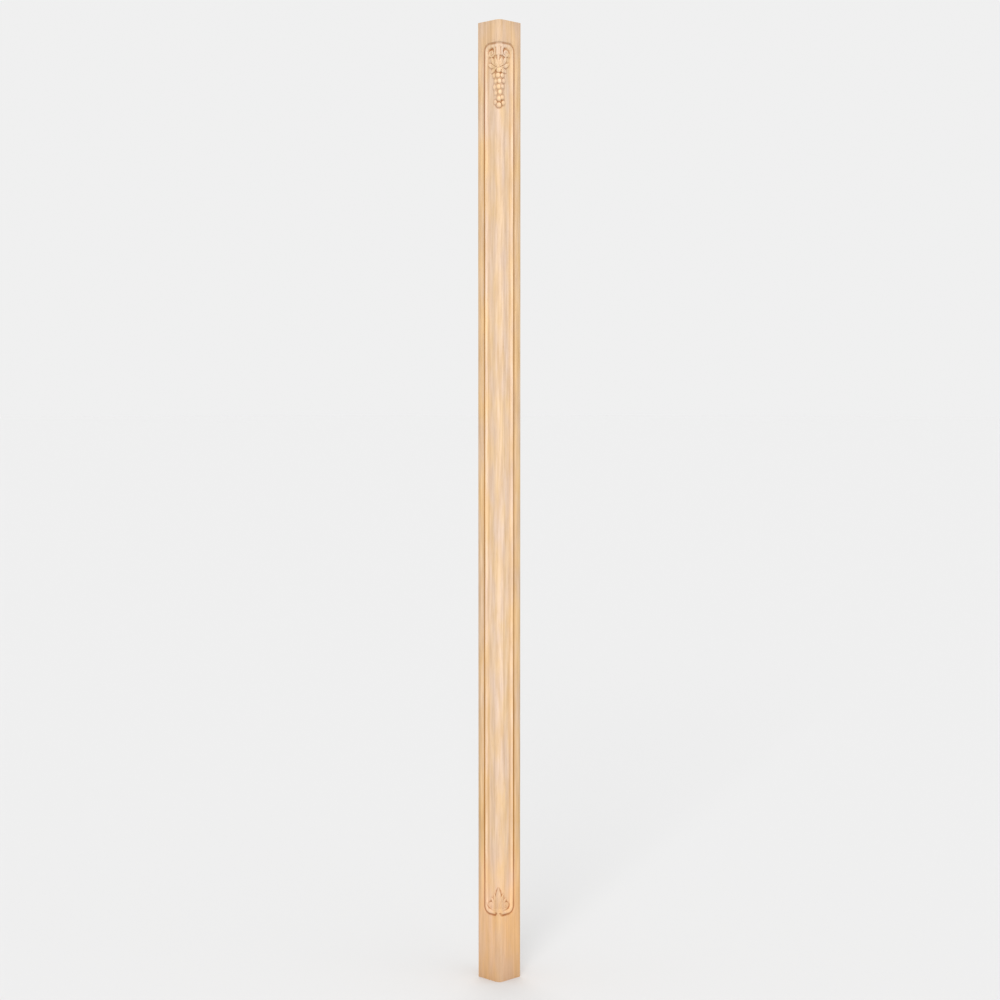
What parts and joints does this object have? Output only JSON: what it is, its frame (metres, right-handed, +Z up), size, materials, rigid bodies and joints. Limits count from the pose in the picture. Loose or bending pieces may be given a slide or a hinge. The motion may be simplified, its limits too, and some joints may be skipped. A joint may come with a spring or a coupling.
{
  "type": "carved corner post",
  "caption": "Square wooden corner post with a rounded front arris, a sunk panel in a groove and bead border, hanging grapes and leaves at the top and a palmette at the foot.",
  "frame": {"origin": "centre of the square foot, on its underside", "axes": "+Z up along the post; the faces are square to X and Y; the carved arris stands at +X, -Y and the plain back faces look to -X and +Y"},
  "size_m": [0.0762, 0.0762, 2.4384],
  "materials": {
    "wood": "sanded, unfinished"
  },
  "bodies": {
    "root": {"corner_post": "wood"}
  },
  "joints": []
}
